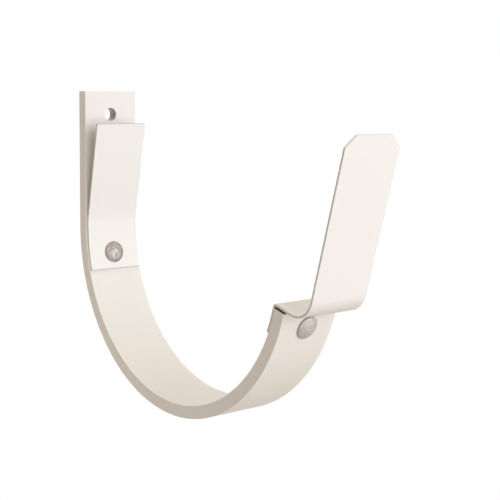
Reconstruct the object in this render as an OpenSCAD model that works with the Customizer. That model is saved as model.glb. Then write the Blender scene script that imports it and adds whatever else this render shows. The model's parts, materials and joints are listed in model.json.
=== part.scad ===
// Half-round gutter bracket: a flat steel bar bent to a hook, with a thin sheet
// clip riveted at the back and another at the front. Both clips are bent over
// the gutter's edges by hand.
//
// Frame: the origin is on the fixing hole's axis, on the face against the wall.
// +X points out from the wall, +Y runs along the gutter and +Z is up.

/* [Strap] */
// Width of the flat bar, along the gutter
strap_w = 25; // [16:0.5:50]
// Thickness of the flat bar
strap_t = 5; // [3:0.5:8]
// Rounding of the bar's long edges
edge_r = 0.5; // [0.2:0.1:1]
// Radius of the cradle, which is the gutter's outside radius
gutter_r = 62.5; // [50:0.5:100]
// Sweep of the cradle, from the foot of the plate to the front end
arc_sweep = 163.9; // [140:0.1:175]
// Height of the plate above the cradle's centre
plate_h = 57.2; // [48:0.1:100]

/* [Fixing hole] */
// Diameter of the screw hole
hole_d = 5.5; // [3:0.1:8]
// Distance of the hole's centre from the top of the plate
hole_drop = 10; // [6:0.5:20]

/* [Clips] */
// Thickness of the sheet that both clips are cut from
sheet_t = 0.9; // [0.5:0.1:1.5]

/* [Rear clip] */
// How far each side of the rear clip stays inside the strap's edge
rear_inset = 0.6; // [0:0.1:3]
// Length below the rivet, along the cradle
rear_foot_l = 7.2; // [5.5:0.1:12]
// Height above the cradle's centre at which the tongue leaves the plate
rear_bend_h = 2.7; // [0:0.1:8]
// Inside radius of the rear bend
rear_bend_r = 2; // [1:0.5:5]
// Lean of the tongue away from the plate, in degrees
rear_lean = 11; // [2:0.5:20]
// Length of the tongue above its bend
rear_tongue_l = 41; // [20:0.5:45]

/* [Front clip] */
// Length of the leg below its rivet, along the cradle
front_foot_l = 3.4; // [3.3:0.1:8]
// Gap between the strap's end and the sheet that runs over it
end_gap = 0.75; // [0.6:0.05:2]
// Inside radius of the fold over the strap's corner
fold_r = 0.5; // [0.3:0.05:0.6]
// Distance from the strap's outer face to the tab's outer face
tab_reach = 11.9; // [10:0.1:20]
// Inside radius of the bend below the tab
tab_bend_r = 7.7; // [3:0.1:9]
// Height of the tab's top above the strap's end, along the tab
tab_h = 66.6; // [30:0.1:90]
// Size of the tab's cut corners
tab_corner = 4.2; // [1:0.1:7]

/* [Rivets] */
// Diameter of the rivets' shanks
rivet_d = 4; // [3:0.5:5]
// Clearance round each shank
rivet_play = 0.05; // [0.02:0.01:0.2]
// Diameter of the rear rivet's round head
dome_d = 9; // [7:0.1:10]
// Height of the rear rivet's round head
dome_h = 1.7; // [1:0.1:2.5]
// Diameter of the rear rivet's tail, which is set flush in the strap's back
tail_d = 7; // [6:0.1:8]
// Diameter of the front rivet's flat head
disc_d = 9.2; // [7:0.1:10]
// Height of the front rivet's flat head
disc_h = 1; // [0.6:0.1:2]
// Diameter of the front rivet's closed head, on the leg
closed_d = 6.4; // [6:0.1:6.6]
// Height of the front rivet's closed head
closed_h = 1.1; // [0.6:0.1:2]
// Distance of the rear rivet below the plate, along the cradle
rear_rivet_l = 12; // [6:0.1:20]
// Distance of the front rivet from the strap's end, along the cradle
front_rivet_l = 6.3; // [5:0.1:12]

/* [Hidden] */
$fn = 96;
outer_r = gutter_r + strap_t;
// the cradle's centre, as X and Z
centre = [outer_r, hole_drop - plate_h];
deg_per_mm = 180 / (PI * gutter_r);
rear_rivet_a = rear_rivet_l * deg_per_mm;
rear_foot_a = (rear_rivet_l + rear_foot_l) * deg_per_mm;
front_rivet_a = arc_sweep - front_rivet_l * deg_per_mm;
leg_a = (front_rivet_l + front_foot_l) * deg_per_mm;
rear_w = strap_w - 2 * rear_inset;
// the bend below the tab, measured out from the cradle's centre and up from the
// strap's end
bend_s = outer_r + tab_reach - sheet_t - tab_bend_r;
bend_h = end_gap + sheet_t + tab_bend_r;
steel = [0.94, 0.92, 0.89];
zinc = [0.72, 0.70, 0.68];

// Moves a flat outline drawn in X and Z to the cradle's centre.
module at_centre() {
    translate([centre.x, 0, centre.y]) rotate([90, 0, 0]) children();
}

// A sheet's or plate's outline in X and Z, given its width along Y.
module across(w) {
    linear_extrude(height = w, center = true) children();
}

// Points along an arc, from one angle to another.
function arc(c, r, from, to, steps = 4) =
    [for (i = [0 : steps]) let (a = from + (to - from) * i / steps) c + r * [cos(a), sin(a)]];

// The ring between two radii, from one angle to another, anticlockwise.
module ring_sector(r_in, thick, from, to) {
    far = 2 * (r_in + thick);
    intersection() {
        difference() {
            circle(r = r_in + thick);
            circle(r = r_in);
        }
        polygon([[0, 0], for (a = [from, (from + to) / 2, to]) far * [cos(a), sin(a)]]);
    }
}

// A solid on the strap's inner face, at an angle down from the plate's foot, with
// its +Z towards the cradle's centre.
module on_cradle(a) {
    translate([centre.x, 0, centre.y]) rotate([0, 90 - a, 0]) translate([0, 0, -gutter_r])
        children();
}

// A round solid along the gutter, of the given radius about the cradle's centre.
module drum(r) {
    at_centre() across(2 * strap_w) circle(r = r, $fn = 360);
}

// The bar's cross-section with rounded edges: thickness from x = 0, width centred.
module bar_section() {
    translate([edge_r, -strap_w / 2]) square([strap_t - 2 * edge_r, strap_w]);
    translate([0, edge_r - strap_w / 2]) square([strap_t, strap_w - 2 * edge_r]);
    for (x = [edge_r, strap_t - edge_r], side = [-1, 1])
        translate([x, side * (strap_w / 2 - edge_r)]) circle(r = edge_r, $fn = 16);
}

// The hole through the strap for a rivet's shank.
module shank_hole(a) {
    on_cradle(a) translate([0, 0, -2 * strap_t])
        cylinder(d = rivet_d + 2 * rivet_play, h = 3 * strap_t);
}

// The flared tail of the rear rivet, and the sink in the strap that it fills.
module tail(play) {
    sink = (tail_d - rivet_d) / 2;
    on_cradle(rear_rivet_a) translate([0, 0, -strap_t - 1])
        cylinder(d1 = tail_d + 2 * (1 + play), d2 = rivet_d + 2 * play, h = sink + 1);
}

module strap() {
    color(steel) difference() {
        union() {
            // plate against the wall
            translate([0, 0, centre.y]) linear_extrude(height = plate_h) bar_section();
            // cradle
            at_centre() rotate([0, 0, 180]) rotate_extrude(angle = arc_sweep)
                translate([gutter_r, 0]) mirror([1, 0]) translate([-strap_t, 0]) bar_section();
        }
        rotate([0, 90, 0]) cylinder(d = hole_d, h = 3 * strap_t, center = true);
        shank_hole(rear_rivet_a);
        shank_hole(front_rivet_a);
        tail(rivet_play);
    }
}

// One face of the rear clip above the cradle: its foot, its bend and the tongue's
// top, as points about the cradle's centre.
function tongue_face(r) =
    let (
        bend = arc([sheet_t + rear_bend_r - gutter_r, rear_bend_h], r, 180, 180 - rear_lean),
        along = rear_tongue_l * [sin(rear_lean), cos(rear_lean)]
    )
    concat([[bend[0].x, 0]], bend, [bend[len(bend) - 1] + along]);

module rear_clip() {
    back = tongue_face(rear_bend_r + sheet_t);
    front = tongue_face(rear_bend_r);
    color(steel) difference() {
        at_centre() across(rear_w) {
            // foot on the cradle
            ring_sector(gutter_r - sheet_t, sheet_t, 180, 180 + rear_foot_a);
            // short run on the plate, bend and tongue
            polygon(concat(front, [for (i = [len(back) - 1 : -1 : 0]) back[i]]));
        }
        shank_hole(rear_rivet_a);
    }
}

// Turns an outline so that its +X points out along the strap's front end and its
// +Y points up past that end.
module at_end() {
    at_centre() rotate([0, 0, arc_sweep - 180]) children();
}

module front_clip() {
    color(steel) difference() {
        at_end() across(strap_w) {
            // leg on the cradle, and its rise past the strap's end
            ring_sector(gutter_r - sheet_t, sheet_t, -leg_a, 0);
            translate([gutter_r - sheet_t, 0]) square([sheet_t, end_gap - fold_r]);
            // fold over the corner
            translate([gutter_r + fold_r, end_gap - fold_r])
                ring_sector(fold_r, sheet_t, 90, 180);
            // flat over the strap's end
            translate([gutter_r + fold_r, end_gap])
                square([bend_s - gutter_r - fold_r, sheet_t]);
            // bend below the tab
            translate([bend_s, bend_h]) ring_sector(tab_bend_r, sheet_t, -90, 0);
            // tab
            translate([bend_s + tab_bend_r, bend_h]) square([sheet_t, tab_h - bend_h]);
        }
        shank_hole(front_rivet_a);
        // corners cut off the tab
        for (side = [-1, 1])
            at_end() translate([bend_s + tab_bend_r, tab_h, side * strap_w / 2])
                rotate([0, 90, 0]) rotate([0, 0, 45])
                    cube([tab_corner * sqrt(2), tab_corner * sqrt(2), 4 * sheet_t], center = true);
    }
}

module shank(a) {
    on_cradle(a) translate([0, 0, -strap_t - 1]) cylinder(d = rivet_d, h = strap_t + 1 + sheet_t + 0.2);
}

module rear_rivet() {
    // radius of the sphere whose cap is the head
    cap_r = (pow(dome_d / 2, 2) + pow(dome_h, 2)) / (2 * dome_h);
    color(zinc) {
        intersection() {
            union() {
                shank(rear_rivet_a);
                tail(0);
            }
            drum(outer_r);
        }
        // head, which beds on the clip
        intersection() {
            on_cradle(rear_rivet_a) intersection() {
                translate([0, 0, sheet_t + dome_h - cap_r]) sphere(r = cap_r);
                cylinder(d = dome_d, h = 3 * dome_h);
            }
            drum(gutter_r - sheet_t);
        }
    }
}

module front_rivet() {
    color(zinc) {
        shank(front_rivet_a);
        // flat head with a bevelled rim, on the strap's outer face
        difference() {
            on_cradle(front_rivet_a) translate([0, 0, -strap_t]) rotate([180, 0, 0]) {
                translate([0, 0, -1]) cylinder(d = disc_d, h = 1 + disc_h * 0.6);
                translate([0, 0, disc_h * 0.6])
                    cylinder(d1 = disc_d, d2 = disc_d - disc_h * 0.8, h = disc_h * 0.4);
            }
            drum(outer_r);
        }
        // closed head on the leg
        intersection() {
            on_cradle(front_rivet_a)
                cylinder(d1 = closed_d + 0.6, d2 = closed_d - 1.4, h = sheet_t + closed_h);
            drum(gutter_r - sheet_t);
        }
    }
}

strap();
rear_clip();
front_clip();
rear_rivet();
front_rivet();
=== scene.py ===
# %% [markdown]
# # A gutter bracket, dressed for a studio picture
#
# The bracket is a flat steel bar bent to a hook. A thin sheet clip is riveted inside it at
# the back, and another at the front end. The whole thing has one warm white coating, and
# only the two rivet heads are bare metal. This lesson models each piece again with soft
# edges, gives the two finishes their fine grain, and lights them.

import json
import math

import bpy
from mathutils import Matrix, Vector


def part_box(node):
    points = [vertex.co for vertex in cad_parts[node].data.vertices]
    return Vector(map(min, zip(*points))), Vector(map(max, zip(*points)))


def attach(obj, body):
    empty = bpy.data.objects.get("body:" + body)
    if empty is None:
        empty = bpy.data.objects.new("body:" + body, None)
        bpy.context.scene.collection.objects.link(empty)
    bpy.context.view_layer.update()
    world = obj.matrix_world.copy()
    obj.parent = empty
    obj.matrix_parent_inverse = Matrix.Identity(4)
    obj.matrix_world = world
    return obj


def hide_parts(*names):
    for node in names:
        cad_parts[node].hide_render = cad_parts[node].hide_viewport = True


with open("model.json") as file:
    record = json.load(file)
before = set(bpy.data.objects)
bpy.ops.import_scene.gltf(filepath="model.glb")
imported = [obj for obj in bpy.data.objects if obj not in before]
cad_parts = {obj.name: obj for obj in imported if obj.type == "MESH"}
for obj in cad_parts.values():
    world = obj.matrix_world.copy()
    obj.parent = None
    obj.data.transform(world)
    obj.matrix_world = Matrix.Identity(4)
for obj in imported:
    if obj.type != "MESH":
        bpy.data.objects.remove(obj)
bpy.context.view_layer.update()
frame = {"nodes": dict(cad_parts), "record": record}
print("nodes:", sorted(frame["nodes"]))

# %% [markdown]
# ## The sizes
#
# Every size could be typed in again, but then the picture and the construction could drift
# apart. So the places are read from the frame: the boxes of its nodes and the screw hole's
# own record. Only what a box can't tell, such as a radius or a sheet's thickness, is named
# here, in millimetres turned to metres.

# %% Read the strap
MM = 0.001
QUARTER = math.pi / 2
strap_low, strap_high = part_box("strap")
hole = next(m for m in frame["record"]["mounts"] if m["name"] == "fixing_hole")["dims"]

WIDTH = strap_high.y - strap_low.y
THICK = hole["length_mm"] * MM
HOLE_R = hole["r_mm"] * MM
TOP = strap_high.z
GUTTER_R = 62.5 * MM
OUTER_R = GUTTER_R + THICK
CENTRE = Vector((OUTER_R, 0, strap_low.z + OUTER_R))
END = math.acos((strap_high.x - OUTER_R) / OUTER_R)
SWEEP = math.pi - END
EDGE_R = 0.3 * MM
HOLE_EDGE = 0.15 * MM
print(f"strap {WIDTH / MM:.1f} x {THICK / MM:.1f} mm, sweep {math.degrees(SWEEP):.1f} degrees")

# %% Read the clips and rivets
SHEET = 0.9 * MM
CUT_EDGE = 0.16 * MM

rear_low, rear_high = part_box("rear_clip")
REAR_WIDTH = rear_high.y - rear_low.y
REAR_LEAN = math.radians(11)
# the tongue as a tight bend would place it, and the radius of the soft bend that it has
REAR_BEND_R = 2 * MM
REAR_BEND_H = 2.7 * MM
TONGUE = 41 * MM
SOFT_BEND_R = 12 * MM
# a length along the cradle is kept as its angle at the centre
FOOT = 19.2 * MM / GUTTER_R

# the air over the strap's end, and how far the tab stands out from the strap and past its end
END_GAP = 0.75 * MM
FOLD_R = 0.5 * MM
TAB_REACH = 11.9 * MM
TAB_BEND_R = 7.7 * MM
TAB_TOP = 66.6 * MM
TAB_CORNER = 4.2 * MM
LEG = 9.7 * MM / GUTTER_R

REAR_RIVET = 12 * MM / GUTTER_R
FRONT_RIVET = SWEEP - 6.3 * MM / GUTTER_R
SHANK_R = 2 * MM
PLAY = 0.05 * MM

# out along the strap's front end, and up past it
OUT = Vector((math.cos(END), 0, -math.sin(END)))
PAST = Vector((math.sin(END), 0, math.cos(END)))
print("strap's end is", round(math.degrees(END), 1), "degrees below the level")

# %% [markdown]
# ## The camera
#
# The bracket is seen from its front right, almost level with its top. A long lens keeps the
# plate's edges nearly upright. Tilting the camera down would centre the hook but lean those
# edges, and shifting the lens would hold them upright but push the hook out of other views,
# so a little of each is used.

# %% Set the camera
camera = bpy.data.objects.new("camera", bpy.data.cameras.new("camera"))
bpy.context.scene.collection.objects.link(camera)
camera.data.sensor_width = 36
camera.data.lens = 79.0
camera.data.shift_y = -0.14
camera.data.clip_start = 0.01
standpoint = Vector((0.4066, -0.2529, 0.0038))
heading, tilt, roll = math.radians(50.563), math.radians(3.855), math.radians(0.171)
camera.matrix_world = (
    Matrix.Translation(standpoint)
    @ Matrix.Rotation(heading, 4, "Z")
    @ Matrix.Rotation(QUARTER - tilt, 4, "X")
    @ Matrix.Rotation(roll, 4, "Z")
)
bpy.context.scene.camera = camera
bpy.context.scene.view_settings.view_transform = "Standard"
print("camera stands", round((standpoint - CENTRE).length, 3), "m from the cradle's centre")

# %% [markdown]
# ## Picking by place
#
# By hand, an edge is clicked. In a script it is found by where it is. A test on the corners
# of each face or edge does that, and it still finds the right one after a size has changed,
# which a list of numbers would not. Everything else is deselected first, because a new
# primitive comes in selected all over.


# %% Helpers for edit mode
def only(piece):
    """Makes piece the one selected object."""
    if bpy.context.object and bpy.context.object.mode != "OBJECT":
        bpy.ops.object.mode_set(mode="OBJECT")
    bpy.ops.object.select_all(action="DESELECT")
    piece.select_set(True)
    bpy.context.view_layer.objects.active = piece


def pick(piece, kind, test):
    """Enters edit mode, selects the faces, edges or points that pass whole, and counts them."""
    only(piece)
    mesh = piece.data
    passed = [test(v.co) for v in mesh.vertices]
    groups = {"VERT": mesh.vertices, "EDGE": mesh.edges, "FACE": mesh.polygons}
    for group in groups.values():
        for item in group:
            item.select = False
    found = 0
    for item in groups[kind]:
        corners = [item.index] if kind == "VERT" else item.vertices
        item.select = all(passed[i] for i in corners)
        found += item.select
    bpy.context.tool_settings.mesh_select_mode = [kind == k for k in ("VERT", "EDGE", "FACE")]
    bpy.ops.object.mode_set(mode="EDIT")
    return found


def done():
    """Leaves edit mode."""
    bpy.ops.object.mode_set(mode="OBJECT")


def near(a, b, reach=0.01 * MM):
    """True where two measures agree within reach."""
    return abs(a - b) < reach


def at_height(height):
    """A test for points at that height."""
    return lambda co: near(co.z, height)


def apply_place(piece):
    """Moves the object's place into its mesh, so that the object sits at the origin."""
    only(piece)
    bpy.ops.object.transform_apply(location=True, rotation=True, scale=True)


def apply_modifier(piece, kind, **settings):
    """Adds a modifier, sets it and applies it at once."""
    only(piece)
    modifier = piece.modifiers.new(kind.lower(), kind)
    for name, value in settings.items():
        setattr(modifier, name, value)
    bpy.ops.object.modifier_apply(modifier=modifier.name)


def cut(piece, tool, how="DIFFERENCE"):
    """Cuts, joins or keeps the common part of piece and tool, and deletes the tool."""
    apply_modifier(piece, "BOOLEAN", operation=how, object=tool, solver="EXACT")
    bpy.data.objects.remove(tool)


# %% [markdown]
# ## Soft edges that still look flat
#
# No painted edge is knife sharp: it has a small radius, and that radius catches the light as
# a thin line. A bevel makes the radius. Smooth shading alone would then smear the bevel's
# light over the flat faces, so the normals are weighted by face area, which keeps the flats
# flat.


# %% Helpers for edges and shading
SHARP = math.radians(40)
DOUBLES = 0.001 * MM
FLATNESS = 80


def round_sharp(piece, radius, steps):
    """Rounds every edge that is sharper than a bend's facets."""
    pick(piece, "EDGE", lambda co: False)
    bpy.ops.mesh.edges_select_sharp(sharpness=SHARP)
    bpy.ops.mesh.bevel(offset=radius, segments=steps, profile=0.5, affect="EDGES")
    done()


def tidy_mesh(piece):
    """Merges doubles, drops faces shut inside and turns all faces outwards."""
    pick(piece, "VERT", lambda co: True)
    bpy.ops.mesh.remove_doubles(threshold=DOUBLES)
    bpy.ops.mesh.select_all(action="DESELECT")
    bpy.ops.mesh.select_mode(type="FACE")
    bpy.ops.mesh.select_interior_faces()
    bpy.ops.mesh.delete(type="FACE")
    bpy.ops.mesh.select_all(action="SELECT")
    bpy.ops.mesh.normals_make_consistent(inside=False)
    done()


def shade(piece):
    """Smooths the bends and bevels, and keeps the flats flat."""
    only(piece)
    bpy.ops.object.shade_smooth_by_angle(angle=SHARP)
    apply_modifier(piece, "WEIGHTED_NORMAL", keep_sharp=True, weight=FLATNESS)
    size = " x ".join(f"{side / MM:.1f}" for side in piece.dimensions)
    print(f"{piece.name}: {len(piece.data.polygons)} faces, {size} mm")


# %% [markdown]
# ## The strap
#
# The real strap is a 25 x 5 mm flat bar, drilled at one end and bent round a form. It could be
# a curve with a rectangular bevel, but a curve's ends and corners are hard to control. A
# block for the plate, whose lower face is spun about the cradle's centre, follows the bending
# itself: the section never changes, and the join between flat and round is exact.

# %% Bend the strap
CRADLE_STEPS = 144
bpy.ops.mesh.primitive_cube_add(size=1, location=(THICK / 2, 0, (TOP + CENTRE.z) / 2))
strap = bpy.context.object
strap.name = "strap_bar"
strap.scale = (THICK, WIDTH, TOP - CENTRE.z)
apply_place(strap)
pick(strap, "FACE", at_height(CENTRE.z))
bpy.ops.mesh.spin(steps=CRADLE_STEPS, angle=SWEEP, center=CENTRE, axis=(0, 1, 0))
done()
tidy_mesh(strap)
round_sharp(strap, EDGE_R, steps=4)
reach = max(v.co.x for v in strap.data.vertices)
print("strap reaches", round(reach / MM, 1), "mm from the wall")

# %% [markdown]
# ## The holes
#
# One hole near the plate's top takes the screw, and it is drilled, so it is round and square
# to the face. The rivets have holes too, radial to the cradle. A round cutter per hole is the
# plainest way, and only the screw hole's rim shows, so only that one gets a broken edge.


# %% Drill the strap
ROUND_STEPS = 64


def rod(radius, length, place, turn):
    """A round bar along its own Z axis, turned about Y and placed in its mesh."""
    bpy.ops.mesh.primitive_cylinder_add(
        vertices=ROUND_STEPS, radius=radius, depth=length, location=place, rotation=(0, turn, 0)
    )
    bar = bpy.context.object
    apply_place(bar)
    return bar


def inward(angle):
    """The direction to the cradle's centre from a place that far round from the plate."""
    return Vector((math.cos(angle), 0, math.sin(angle)))


def on_cradle(angle):
    """The place on the strap's inner face at that angle."""
    return CENTRE - inward(angle) * GUTTER_R


def shank_hole(piece, angle):
    """Drills a radial rivet hole."""
    cut(piece, rod(SHANK_R + PLAY, 6 * THICK, on_cradle(angle), QUARTER - angle))


cut(strap, rod(HOLE_R, 4 * THICK, place=(0, 0, 0), turn=QUARTER))
found = pick(
    strap,
    "EDGE",
    lambda co: near(math.hypot(co.y, co.z), HOLE_R) and (near(co.x, 0) or near(co.x, THICK)),
)
bpy.ops.mesh.bevel(offset=HOLE_EDGE, segments=2, profile=0.5, affect="EDGES")
done()
shank_hole(strap, REAR_RIVET)
shank_hole(strap, FRONT_RIVET)
print("screw hole rim edges:", found)

# %% [markdown]
# ## The sheet clips
#
# Each clip is a strip cut from 0.9 mm sheet and folded. Modelling both sides of every bend
# would double the work, so only the middle of the sheet is modelled: a flat stretch whose
# end edges are spun about each bend's centre and drawn out between the bends. Solidify then
# gives it its thickness, evenly on both sides, as the real sheet has.


# %% Helpers for folded sheet
def spin_edge(piece, test, centre, angle, forward, steps):
    """Bends the sheet on from one end edge, about an axis along the gutter."""
    pick(piece, "EDGE", test)
    axis = (0, 1, 0) if forward else (0, -1, 0)
    bpy.ops.mesh.spin(steps=steps, angle=angle, center=centre, axis=axis)
    done()


def draw_edge(piece, test, way):
    """Draws the sheet on flat from one end edge."""
    pick(piece, "EDGE", test)
    bpy.ops.mesh.extrude_region_move(TRANSFORM_OT_translate={"value": way})
    done()


def thicken(piece):
    """Gives the folded middle its thickness, and breaks its cut edges."""
    pick(piece, "VERT", lambda co: True)
    bpy.ops.mesh.remove_doubles(threshold=DOUBLES)
    bpy.ops.mesh.normals_make_consistent(inside=False)
    done()
    apply_modifier(piece, "SOLIDIFY", thickness=SHEET, offset=0, use_even_offset=True)
    tidy_mesh(piece)
    round_sharp(piece, CUT_EDGE, steps=2)


# %% [markdown]
# ## The rear clip
#
# Its foot follows the cradle, and its tongue leans away from the plate, ready to be bent down
# over the gutter's back edge. It starts from the short run that lies flat on the plate: the
# foot is spun from its lower edge, and the bend and the tongue come from its upper one. Such a
# soft strip bends in a wide curve, so the bend starts lower and ends higher than a tight one
# would, and the tongue still lies on the same line.

# %% Fold the rear clip
middle_x = THICK + SHEET / 2
earlier = (SOFT_BEND_R - REAR_BEND_R) * math.tan(REAR_LEAN / 2)
flat_run = REAR_BEND_H - earlier
tongue_length = TONGUE - earlier
bend_top = CENTRE.z + flat_run
bpy.ops.mesh.primitive_plane_add(
    size=1, location=(middle_x, 0, CENTRE.z + flat_run / 2), rotation=(0, QUARTER, 0)
)
rear_clip = bpy.context.object
rear_clip.name = "rear_clip_sheet"
rear_clip.scale = (flat_run, REAR_WIDTH, 1)
apply_place(rear_clip)
spin_edge(rear_clip, at_height(CENTRE.z), CENTRE, FOOT, forward=True, steps=18)
tongue_bend = Vector((THICK + SHEET + SOFT_BEND_R, 0, bend_top))
spin_edge(rear_clip, at_height(bend_top), tongue_bend, REAR_LEAN, forward=False, steps=10)
up_tongue = Vector((math.sin(REAR_LEAN), 0, math.cos(REAR_LEAN)))
bend_end = bend_top + (SOFT_BEND_R + SHEET / 2) * math.sin(REAR_LEAN)
draw_edge(rear_clip, at_height(bend_end), up_tongue * tongue_length)
thicken(rear_clip)
shank_hole(rear_clip, REAR_RIVET)
shade(rear_clip)

# %% [markdown]
# ## The front clip
#
# Its leg lies inside the strap's front end. The sheet is folded tightly over that end,
# runs across it with a hair of air under it, and turns up in a wide bend to the long tab that
# is bent over the gutter's front bead. It starts from the flat over the strap's end, and its
# two corners are cut off with a vertex bevel before it gets its thickness.


# %% Fold the front clip
def end_point(out, past):
    """The place that far out along the strap's end and that far past it."""
    return CENTRE + OUT * out + PAST * past


def out_at(out):
    """A test for points that far out along the strap's end."""
    return lambda co: near((co - CENTRE).dot(OUT), out)


def past_at(past):
    """A test for points that far past the strap's end."""
    return lambda co: near((co - CENTRE).dot(PAST), past)


flat_from = GUTTER_R + FOLD_R
bend_from = OUTER_R + TAB_REACH - SHEET - TAB_BEND_R
flat_past = END_GAP + SHEET / 2
tab_bend_past = END_GAP + SHEET + TAB_BEND_R
bpy.ops.mesh.primitive_plane_add(
    size=1, location=end_point((flat_from + bend_from) / 2, flat_past), rotation=(0, END, 0)
)
front_clip = bpy.context.object
front_clip.name = "front_clip_sheet"
front_clip.scale = (bend_from - flat_from, WIDTH, 1)
apply_place(front_clip)

# the wide bend and the tab
bend_centre = end_point(bend_from, tab_bend_past)
spin_edge(front_clip, out_at(bend_from), bend_centre, QUARTER, forward=True, steps=20)
draw_edge(front_clip, past_at(tab_bend_past), PAST * (TAB_TOP - tab_bend_past))
# the tight fold, the rise past the strap's end and the leg
fold_past = END_GAP - FOLD_R
fold_centre = end_point(flat_from, fold_past)
spin_edge(front_clip, out_at(flat_from), fold_centre, QUARTER, forward=True, steps=8)
draw_edge(front_clip, past_at(fold_past), -PAST * fold_past)
spin_edge(front_clip, past_at(0), CENTRE, LEG, forward=False, steps=10)
pick(front_clip, "VERT", past_at(TAB_TOP))
bpy.ops.mesh.bevel(offset=TAB_CORNER, segments=1, affect="VERTICES")
done()
thicken(front_clip)
shank_hole(front_clip, FRONT_RIVET)
shade(front_clip)

# %% [markdown]
# ## The rivets
#
# A rivet is a turned shape: a shank with a head at one end, and a second head that is formed
# when it is set. It could be spun from a profile, but stacking rings shows each size as it is
# used: a filled circle is drawn up and widened or narrowed, ring by ring. The heads are made
# a little too deep and then trimmed to the round face that they bed on. Each rivet has a round
# head on its clip, so that one is a helper too.

# %% Helpers for rivets
RIM = 0.25 * MM
INTO_HEAD = 0.3 * MM
DRUM_STEPS = 720


def turned(name, rings):
    """A closed turned shape along Z, from a list of radius and height pairs."""
    radius, height = rings[0]
    bpy.ops.mesh.primitive_circle_add(
        vertices=ROUND_STEPS, radius=radius, fill_type="NGON", location=(0, 0, height)
    )
    shape = bpy.context.object
    shape.name = name
    apply_place(shape)
    for wider, higher in rings[1:]:
        pick(shape, "FACE", lambda co: near(co.z, height, reach=0.0001 * MM))
        bpy.ops.mesh.extrude_region_move(
            TRANSFORM_OT_translate={"value": (0, 0, higher - height)}
        )
        bpy.ops.transform.resize(value=(wider / radius, wider / radius, 1))
        done()
        radius, height = wider, higher
    pick(shape, "FACE", lambda co: True)
    bpy.ops.mesh.normals_make_consistent(inside=False)
    done()
    return shape


def set_on_cradle(piece, angle):
    """Moves a shape from the origin to the strap's inner face, its Z towards the centre."""
    piece.rotation_euler = (0, QUARTER - angle, 0)
    piece.location = on_cradle(angle)
    apply_place(piece)


def drum(radius):
    """A round solid about the cradle's centre, to trim what beds on the cradle."""
    bpy.ops.mesh.primitive_cylinder_add(
        vertices=DRUM_STEPS,
        radius=radius,
        depth=2 * WIDTH,
        location=CENTRE,
        rotation=(QUARTER, 0, 0),
    )
    solid = bpy.context.object
    apply_place(solid)
    return solid


def dome(radius, height, rim, steps=7):
    """Rings of a round head above its rim."""
    ball = (radius * radius + height * height) / (2 * height)
    widest = math.asin(radius / ball)
    angles = [widest * (1 - i / steps) for i in range(1, steps)]
    rings = [(ball * math.sin(a), rim + height - ball * (1 - math.cos(a))) for a in angles]
    return [(radius, rim)] + rings


def head_on_clip(radius, height, angle, steps=7):
    """A round head bedded on the clip's inner face."""
    head = turned("head", [(radius, -RIM)] + dome(radius, height, SHEET + RIM, steps))
    set_on_cradle(head, angle)
    cut(head, drum(GUTTER_R - SHEET), "INTERSECT")
    return head


# %% [markdown]
# ## The rear rivet
#
# Its low round head sits on the rear clip, towards the gutter. Behind, it may not stand proud,
# because the strap's back lies almost on the wall there, so its tail fills a countersink and
# is trimmed flush.

# %% Turn the rear rivet
DOME_R = 4.5 * MM
DOME_H = 1.45 * MM
TAIL_R = 3.5 * MM
sink = TAIL_R - SHANK_R
overrun = THICK / 5

rear_rivet = turned(
    "rear_rivet_round",
    [
        (TAIL_R + overrun, -THICK - overrun),
        (SHANK_R, sink - THICK),
        (SHANK_R, SHEET + INTO_HEAD),
    ],
)
set_on_cradle(rear_rivet, REAR_RIVET)
cut(rear_rivet, drum(OUTER_R), "INTERSECT")
cut(rear_rivet, head_on_clip(DOME_R, DOME_H, REAR_RIVET), "UNION")
shade(rear_rivet)

countersink = turned(
    "countersink",
    [(TAIL_R + PLAY + overrun, -THICK - overrun), (SHANK_R + PLAY, sink - THICK)],
)
set_on_cradle(countersink, REAR_RIVET)
cut(strap, countersink)
shade(strap)

# %% [markdown]
# ## The front rivet
#
# Its wide head is outside, where nothing passes, and its formed head is on the clip's leg.
# The wide head is low and round, with a thin upright rim. It is the same kind of dome as the
# rear head's, turned to face outwards. A flat disc would show a thick wall instead.

# %% Turn the front rivet
CAP_R = 4.3 * MM
CAP_H = 1.35 * MM
CAP_RIM = 0.45 * MM
CLOSED_R = 3.2 * MM
CLOSED_H = 1.0 * MM

front_rivet = turned(
    "front_rivet_flat", [(SHANK_R, -THICK - CAP_H / 2), (SHANK_R, SHEET + INTO_HEAD)]
)
set_on_cradle(front_rivet, FRONT_RIVET)
cap_rings = [(radius, -THICK - out) for radius, out in dome(CAP_R, CAP_H, CAP_RIM, steps=9)]
cap = turned("cap", cap_rings[::-1] + [(CAP_R, RIM - THICK)])
set_on_cradle(cap, FRONT_RIVET)
cut(cap, drum(OUTER_R))
cut(front_rivet, cap, "UNION")
cut(front_rivet, head_on_clip(CLOSED_R, CLOSED_H, FRONT_RIVET, steps=5), "UNION")
shade(front_rivet)

# %% [markdown]
# ## Shader maths as Python
#
# A material is a net of nodes, and sums in it are easier to read as sums. The first class
# below stands for one socket. Adding or multiplying it makes the Math node and links it, also
# when the plain number comes first, as in 1 - mask. Any other node comes from the net's one
# method, which takes its type, its settings, and the wires or values of its sockets.


# %% Sockets, nets and finishes
class Wire:
    """An output socket that can be used in sums."""

    def __init__(self, net, socket):
        self.net, self.socket = net, socket

    def maths(self, operation, first, second):
        """Adds a Math node for two wires or numbers."""
        return self.net.node("Math", {"operation": operation}, {0: first, 1: second})["Value"]

    def __add__(self, other):
        return self.maths("ADD", self, other)

    def __rsub__(self, other):
        return self.maths("SUBTRACT", other, self)

    def __mul__(self, other):
        return self.maths("MULTIPLY", self, other)

    __radd__ = __add__
    __rmul__ = __mul__


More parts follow.
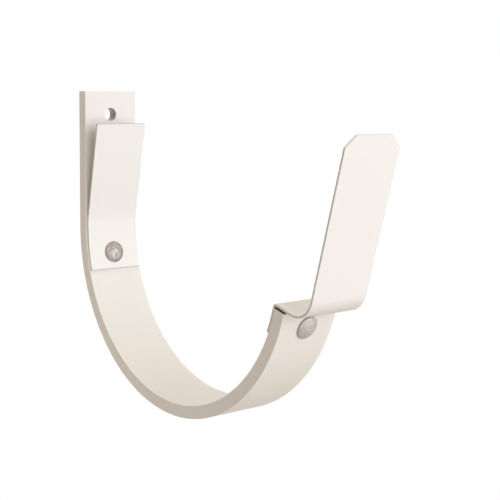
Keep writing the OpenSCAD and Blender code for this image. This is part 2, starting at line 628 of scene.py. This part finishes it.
class Made:
    """A new node, whose outputs are read by name as wires."""

    def __init__(self, net, box):
        self.net, self.box = net, box

    def __getitem__(self, name):
        return Wire(self.net, self.box.outputs[name])


class Net:
    """The nodes of a material or of the room, with one method that adds any node."""

    def __init__(self, owner):
        owner.use_nodes = True
        self.tree = owner.node_tree
        self.tree.nodes.clear()

    def link(self, made, name, value):
        """Links a wire to a socket, or sets the socket to a plain value."""
        target = made.box.inputs[name]
        if isinstance(value, Wire):
            self.tree.links.new(value.socket, target)
        else:
            target.default_value = value

    def node(self, kind, settings=None, inputs=None):
        """Adds a node: its type, its settings, and the wires or values of its sockets."""
        made = Made(self, self.tree.nodes.new("ShaderNode" + kind))
        for name, value in (settings or {}).items():
            setattr(made.box, name, value)
        for name, value in (inputs or {}).items():
            self.link(made, name, value)
        return made


class Finish(Net):
    """A material under construction, with the patterns and measures that it is mixed from."""

    def __init__(self, name):
        self.material = bpy.data.materials.new(name)
        super().__init__(self.material)
        self.surface = self.node("BsdfPrincipled")
        self.output = self.node("OutputMaterial", None, {"Surface": self.surface["BSDF"]})
        self.place = self.node("TexCoord")["Object"]

    def noise(self, scale, detail, rough=0.5):
        """Clouds or grain, finer with a larger scale."""
        sockets = {"Vector": self.place, "Scale": scale, "Detail": detail, "Roughness": rough}
        return self.node("TexNoise", None, sockets)["Fac"]

    def mixed(self, factor, first, second):
        """A colour between two colours, either of which may itself be a wire."""
        mix = self.node("Mix", {"data_type": "RGBA"}, {"Factor": factor})
        for name, value in ((6, first), (7, second)):
            self.link(mix, name, value if isinstance(value, Wire) else (*value, 1))
        return Wire(self, mix.box.outputs[2])

    def rise(self, value, start, end):
        """0 below start, 1 above end, and smooth between them."""
        sockets = {"Value": value, "From Min": start, "From Max": end}
        return self.node("MapRange", {"interpolation_type": "SMOOTHSTEP"}, sockets)["Result"]

    def vectors(self, operation, first, second):
        """Vector Math on two vectors, of which either may be a plain one."""
        return self.node("VectorMath", {"operation": operation}, {0: first, 1: second})

    def length(self, vector):
        """How long a vector is."""
        return self.node("VectorMath", {"operation": "LENGTH"}, {0: vector})["Value"]

    def seen_from(self, origin):
        """Each point's place as seen from origin."""
        return self.vectors("SUBTRACT", self.place, origin)["Vector"]

    def along(self, way, origin):
        """How far each point lies from origin along a direction."""
        return self.vectors("DOT_PRODUCT", self.seen_from(origin), way)["Value"]

    def bump(self, height, distance, strength):
        """Normals as if the surface rose by a height from 0 to 1 times distance."""
        sockets = {"Height": height, "Distance": distance, "Strength": strength}
        return self.node("Bump", None, sockets)["Normal"]

    def set(self, **sockets):
        """Sets sockets of the surface, named with _ for a space."""
        for name, value in sockets.items():
            self.link(self.surface, name.replace("_", " "), value)


# %% [markdown]
# ## The coating
#
# Strap and clips have the same warm white stoved coating. Seen close it isn't one colour: it
# clouds a little over a few centimetres, has a fine grain, and its skin has the shallow
# ripple that painters call orange peel. A picture of paint could show that, but noise on
# Object coordinates stays sharp at any distance and runs on over every bend.
#
# The coating isn't equally thick everywhere. It draws back from the cut edges of the sheet, so
# a little of the metal's grey shows through there. The foot's lower cut edge is darker still,
# partly bare metal and partly painted shade for the dark line where it meets the strap. The
# tongue's cut end is painted near black: partly bare metal, partly painted shade for the dark
# line above it. The wall of the screw hole gets painted shade, darkest at its top, which faces
# down. The narrow slit between the strap's end and the clip is painted dark, as painted shade.
# The clips' tones are a touch lighter than the strap's, as painted light, and the front one
# gets painted shade round its fold and bend. Each of these places gets a mask, made from how
# far a point lies along a direction or from an axis.


# %% Mix the coating
# painted shade: the dark tone of the slit over the strap's end
SLIT_SHADE = (0.23, 0.17, 0.125)
# painted shade on the screw hole's wall: its lower tone and its darkest, top tone
HOLE_WALL_SHADE = (0.62, 0.515, 0.43)
HOLE_TOP_SHADE = (0.06, 0.05, 0.04)
CUT = (0.66, 0.672, 0.65)
# the foot's lower cut edge: bare metal, darkened further with painted shade
FOOT_EDGE_BARE_AND_SHADE = (0.48, 0.43, 0.38)
# the tongue's cut end: bare metal, darkened to near black with painted shade
TONGUE_END_BARE_AND_SHADE = (0.22, 0.20, 0.18)
SKIN = 0.06 * MM
PEEL_DEPTH = 0.012 * MM


def coating(name, light, dark):
    """The coating with its clouds, grain and peel, before its thin and bare places."""
    paint = Finish(name)
    clouds = paint.noise(scale=28, detail=3)
    grain = paint.noise(scale=2600, detail=1)
    peel = paint.noise(scale=620, detail=2, rough=0.4)
    paint.colour = paint.mixed(0.7 * clouds + 0.3 * grain, light, dark)
    paint.set(
        Base_Color=paint.colour,
        Roughness=0.40 + 0.10 * clouds + 0.05 * grain,
        Normal=paint.bump(peel, PEEL_DEPTH, 0.5),
        IOR=1.5,
    )
    return paint


def lay(paint, mask, colour):
    """Lays another colour on the coating where the mask is 1."""
    paint.colour = paint.mixed(mask, paint.colour, colour)
    paint.set(Base_Color=paint.colour)


def beyond(paint, distance, limit):
    """1 where a distance is at the limit or past it, fading within the skin below it."""
    return paint.rise(distance, limit - SKIN, limit - SKIN / 4)


def sideways(paint):
    """How far each point lies from the bracket's middle plane."""
    side = paint.along((0, 1, 0), (0, 0, 0))
    return paint.node("Math", {"operation": "ABSOLUTE"}, {0: side})["Value"]


def slit(paint, lap):
    """1 in the slit over the strap's end and for a small lap before it, and 0 elsewhere."""
    past = paint.along(PAST, CENTRE)
    out = paint.along(OUT, CENTRE)
    inside = beyond(paint, out, GUTTER_R) * (1 - beyond(paint, out, OUTER_R + EDGE_R))
    return inside * beyond(paint, past, -lap) * (1 - beyond(paint, past, END_GAP + SKIN))


# %% Coat the strap
LIGHT_STRAP = (0.858, 0.820, 0.777)
DARK_STRAP = (0.838, 0.798, 0.752)
# the heights over which the painted shade in the screw hole darkens towards its top
HOLE_SHADE_FROM = -0.5 * MM
HOLE_SHADE_TO = 2 * MM
STRAP_LAP = 0.1 * MM
strap_finish = coating("strap_coating", LIGHT_STRAP, DARK_STRAP)
# the screw hole's axis is the X axis
across_hole = strap_finish.vectors("MULTIPLY", strap_finish.place, (0, 1, 1))["Vector"]
in_hole = 1 - beyond(strap_finish, strap_finish.length(across_hole), HOLE_R + SKIN)
up_hole = strap_finish.along((0, 0, 1), (0, 0, 0))
hole_shade_rise = strap_finish.rise(up_hole, HOLE_SHADE_FROM, HOLE_SHADE_TO)
# painted shade on the screw hole's wall, darkest at its top, which faces down
lay(strap_finish, in_hole, strap_finish.mixed(hole_shade_rise, HOLE_WALL_SHADE, HOLE_TOP_SHADE))
# painted shade in the slit over the strap's end
lay(strap_finish, slit(strap_finish, STRAP_LAP), SLIT_SHADE)

# %% Coat the rear clip
# the clips' tones are lighter than the strap's as painted light, for light the lamps don't give
# them
LIGHT_CLIP_BRIGHTENED = (0.905, 0.875, 0.843)
DARK_CLIP_BRIGHTENED = (0.885, 0.853, 0.819)
rear_finish = coating("rear_clip_coating", LIGHT_CLIP_BRIGHTENED, DARK_CLIP_BRIGHTENED)
lay(rear_finish, beyond(rear_finish, sideways(rear_finish), REAR_WIDTH / 2), CUT)
along_tongue = rear_finish.along(up_tongue, tongue_bend)
# painted shade on the tongue's cut end, for the dark line above it
lay(rear_finish, beyond(rear_finish, along_tongue, tongue_length), TONGUE_END_BARE_AND_SHADE)
past_foot = rear_finish.along((math.sin(FOOT), 0, -math.cos(FOOT)), CENTRE)
# painted shade on the foot's lower cut edge, for the dark line where it meets the strap
lay(rear_finish, beyond(rear_finish, past_foot, -CUT_EDGE / 2), FOOT_EDGE_BARE_AND_SHADE)

# %% Coat the front clip
# painted shade round the front clip's fold and bend, and where it fades out along the tab
FOLD_SHADE = (0.836, 0.793, 0.753)
FOLD_SHADE_SHARE = 0.85
FOLD_SHADE_FULL_TO = 5 * MM
FOLD_SHADE_GONE_AT = 10.5 * MM
CLIP_LAP = 0.3 * MM
front_finish = coating("front_clip_coating", LIGHT_CLIP_BRIGHTENED, DARK_CLIP_BRIGHTENED)
aside = sideways(front_finish)
up_tab = front_finish.along(PAST, CENTRE)
fold_shade_mask = 1 - front_finish.rise(up_tab, FOLD_SHADE_FULL_TO, FOLD_SHADE_GONE_AT)
# painted shade round the fold and bend
lay(front_finish, FOLD_SHADE_SHARE * fold_shade_mask, FOLD_SHADE)
lay(front_finish, beyond(front_finish, aside, WIDTH / 2), CUT)
lay(front_finish, beyond(front_finish, up_tab, TAB_TOP), CUT)
corner_line = TAB_TOP + WIDTH / 2 - TAB_CORNER
lay(front_finish, beyond(front_finish, up_tab + aside, corner_line), CUT)
# painted shade in the slit over the strap's end
lay(front_finish, slit(front_finish, CLIP_LAP), SLIT_SHADE)
for paint in (strap_finish, rear_finish, front_finish):
    print("coating:", paint.material.name, "with", len(paint.tree.nodes), "nodes")

# %% [markdown]
# ## The rivet metal
#
# The rivets are plain steel with a dull zinc skin: grey, a little warm, flecked and cloudy,
# with a ring of painted shade where the head's rim meets the coating. The rear head also has
# a painted highlight off its middle, with a small dark streak of painted reflection in it. All
# of these are only changes of tone, so they are laid on by distance and need no shape. The
# ring needs each point's distance from the rivet's axis. That is the length of the cross
# product of the axis and the point, as seen from the rivet.


# %% Plate the rivets
# painted shade in a ring where each rivet head's rim meets the coating
RIM_SHADE = (0.30, 0.26, 0.23)
RIM_SHADE_SHARE = 0.75
ZINC_DEPTH = 0.03 * MM


def zinc(name, angle, head_radius, ring_from, light, dark, paint_highlight):
    """Dull zinc with a ring of painted shade at its rim, and any painted highlight passed in.
    """
    metal = Finish(name)
    across = metal.vectors("CROSS_PRODUCT", metal.seen_from(on_cradle(angle)), inward(angle))
    ring = metal.rise(metal.length(across["Vector"]), head_radius * ring_from, head_radius)
    clouds = metal.noise(scale=420, detail=3)
    flecks = metal.rise(metal.noise(scale=1500, detail=2, rough=0.6), 0.38, 0.62)
    grain = metal.noise(scale=3000, detail=1)
    dull = metal.mixed(0.25 * clouds + 0.75 * flecks, light, dark)
    metal.set(
        Base_Color=paint_highlight(metal, metal.mixed(RIM_SHADE_SHARE * ring, dull, RIM_SHADE)),
        Roughness=0.50 + 0.16 * clouds,
        Metallic=0.35,
        Normal=metal.bump(0.5 * clouds + 0.3 * flecks + 0.2 * grain, ZINC_DEPTH, 0.6),
    )
    return metal.material


# %% Paint a highlight on the rear head
# a painted highlight on the rear head, and a dark streak of painted reflection in it
PAINTED_HIGHLIGHT = (0.68, 0.625, 0.59)
PAINTED_HIGHLIGHT_SHARE = 0.6
PAINTED_STREAK = (0.24, 0.21, 0.195)
PAINTED_STREAK_SHARE = 0.9


def within(metal, distance, full, none):
    """1 where a point is nearer than full, on either side, and 0 past none."""
    return 1 - metal.rise(distance * distance, full * full, none * none)


def highlighted(metal, colour):
    """A painted highlight below the middle of the rear head, with a painted dark streak in it.
    """
    crown = on_cradle(REAR_RIVET) + inward(REAR_RIVET) * (SHEET + RIM + DOME_H)
    middle = crown + Vector((0, -0.3, -1.1)) * MM
    streak_at = middle + Vector((0, 0.4, -0.4)) * MM
    patch = 1 - metal.rise(metal.length(metal.seen_from(middle)), 0.9 * MM, 2.8 * MM)
    narrow = within(metal, metal.along((0, 1, 0), streak_at), 0.2 * MM, 0.6 * MM)
    short = within(metal, metal.along((0, 0, 1), streak_at), 0.7 * MM, 1.4 * MM)
    highlit = metal.mixed(PAINTED_HIGHLIGHT_SHARE * patch, colour, PAINTED_HIGHLIGHT)
    return metal.mixed(PAINTED_STREAK_SHARE * patch * narrow * short, highlit, PAINTED_STREAK)


def plain(metal, colour):
    """No painted highlight, for the front head."""
    return colour


# %% Make the two rivet finishes
REAR_TONES = (0.555, 0.495, 0.46), (0.19, 0.165, 0.15)
FRONT_TONES = (0.585, 0.53, 0.50), (0.43, 0.385, 0.36)
rear_zinc = zinc("rear_rivet_zinc", REAR_RIVET, DOME_R, 0.74, *REAR_TONES, highlighted)
front_zinc = zinc("front_rivet_zinc", FRONT_RIVET, CAP_R, 0.9, *FRONT_TONES, plain)
print("rivet finishes:", rear_zinc.name, front_zinc.name)


# %% [markdown]
# ## Dressing the pieces
#
# A finish could be given face by face, but each piece of the bracket has only one. Nothing on
# it moves, so all five ride on one body. Each also stands for its own plain solid from the
# construction, which is then no longer shown.


# %% Dress the pieces
def dress(piece, material, node):
    """Gives a piece its finish and lets it stand for its CAD node."""
    piece.data.materials.clear()
    piece.data.materials.append(material)
    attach(piece, "root")
    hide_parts(node)


dress(strap, strap_finish.material, "strap")
dress(rear_clip, rear_finish.material, "rear_clip")
dress(front_clip, front_finish.material, "front_clip")
dress(rear_rivet, rear_zinc, "rear_rivet")
dress(front_rivet, front_zinc, "front_rivet")

# %% [markdown]
# ## The floor and the white all round
#
# The bracket hangs free in front of pure white, with no shadow to be seen. A floor close
# below it would show one, so the floor lies a metre down. Under soft lamps a pale floor comes
# out pale grey, and more light would spoil the bracket. So a share of the floor is a plain
# white glow, which is seen, also in a reflection, but lights nothing. Below the bracket the
# rest still takes its soft shadow. Further out the glow takes over, and the floor runs into
# the white behind.


# %% Tell what is seen from what gives light
def seen(net):
    """1 for what the camera sees, straight, in a reflection or through glass, 0 for light."""
    rays = net.node("LightPath")
    either = rays["Is Camera Ray"]
    for kind in ("Is Glossy Ray", "Is Transmission Ray"):
        either = net.node("Math", {"operation": "MAXIMUM"}, {0: either, 1: rays[kind]})["Value"]
    return either


# %% Lay the floor
FLOOR_DROP = 1.0
FLOOR_SIZE = 30
GLOW_BELOW = 0.9
GLOW_FROM = 1.0
GLOW_FULL = 2.0
bpy.ops.mesh.primitive_plane_add(size=FLOOR_SIZE, location=(0, 0, strap_low.z - FLOOR_DROP))
floor = bpy.context.object
floor.name = "floor"
ground = Finish("floor_white")
ground.set(Base_Color=(0.55, 0.45, 0.35, 1), Roughness=0.9, Specular_IOR_Level=0.0)
glow = ground.node("Emission", None, {"Color": (1, 1, 1, 1), "Strength": 1.0})
spread = ground.length(ground.place)
share = GLOW_BELOW + (1 - GLOW_BELOW) * ground.rise(spread, GLOW_FROM, GLOW_FULL)
shaders = {0: seen(ground) * share, 1: ground.surface["BSDF"], 2: glow["Emission"]}
mixed = ground.node("MixShader", None, shaders)
ground.link(ground.output, "Surface", mixed["Shader"])
floor.data.materials.append(ground.material)
print("floor lies", FLOOR_DROP, "m below the bracket")

# %% [markdown]
# ## The room
#
# All round the bracket there is white, but it too is only seen. It gives no light of its own,
# so every bit of light on the coating comes from a lamp or from the floor, and each lamp's
# part can be told from the others.

# %% Paint the room
world = bpy.data.worlds.new("white_room")
bpy.context.scene.world = world
room = Net(world)
white = room.node("Background", None, {"Color": (1, 1, 1, 1), "Strength": seen(room)})
room.node("OutputWorld", None, {"Surface": white["Background"]})
print("room nodes:", len(room.tree.nodes))

# %% [markdown]
# ## The lamps
#
# Five area lamps light the bracket, and they are large, so that every shadow is soft. The main
# one stands low in front of the gutter's open side, and it reaches under the cradle too. One
# above gives a warmer light on all that faces up. One at the near side lights the near edges
# half as much as the faces, and that contrast is what draws the hook. A cool one high behind
# and a low one near the floor keep the wall side from going dark.


# %% Set the lamps
def lamp(name, turn, rise, distance, width, height, power, colour):
    """An area lamp that faces the bracket, turned from +X and raised from the level."""
    data = bpy.data.lights.new(name, "AREA")
    data.shape = "RECTANGLE"
    data.size, data.size_y = width, height
    data.energy = power
    data.color = colour
    light = bpy.data.objects.new(name, data)
    bpy.context.scene.collection.objects.link(light)
    turn, rise = math.radians(turn), math.radians(rise)
    level = Vector((math.cos(turn), math.sin(turn), 0))
    way = level * math.cos(rise) + Vector((0, 0, math.sin(rise)))
    facing = way.to_track_quat("Z", "Y").to_matrix().to_4x4()
    light.matrix_world = Matrix.Translation(CENTRE + way * distance) @ facing
    print(f"{name}: {power} W, {distance} m away")


# turn, rise, distance, width, height, watts, colour
lamp("front_lamp", 15, 8, 2.2, 3.6, 2.6, 69.5, (0.953, 0.981, 1.0))
lamp("back_lamp", 180, 40, 3.0, 2.4, 2.4, 29.5, (0.759, 0.885, 1.0))
lamp("far_lamp", 180, -20, 2.2, 1.2, 0.5, 15.0, (1.0, 0.97, 0.93))
lamp("top_lamp", 0, 88, 3.0, 2.4, 2.4, 51.0, (1.0, 0.892, 0.764))
lamp("side_lamp", -90, 10, 3.0, 2.4, 2.4, 28.5, (1.0, 0.898, 0.789))
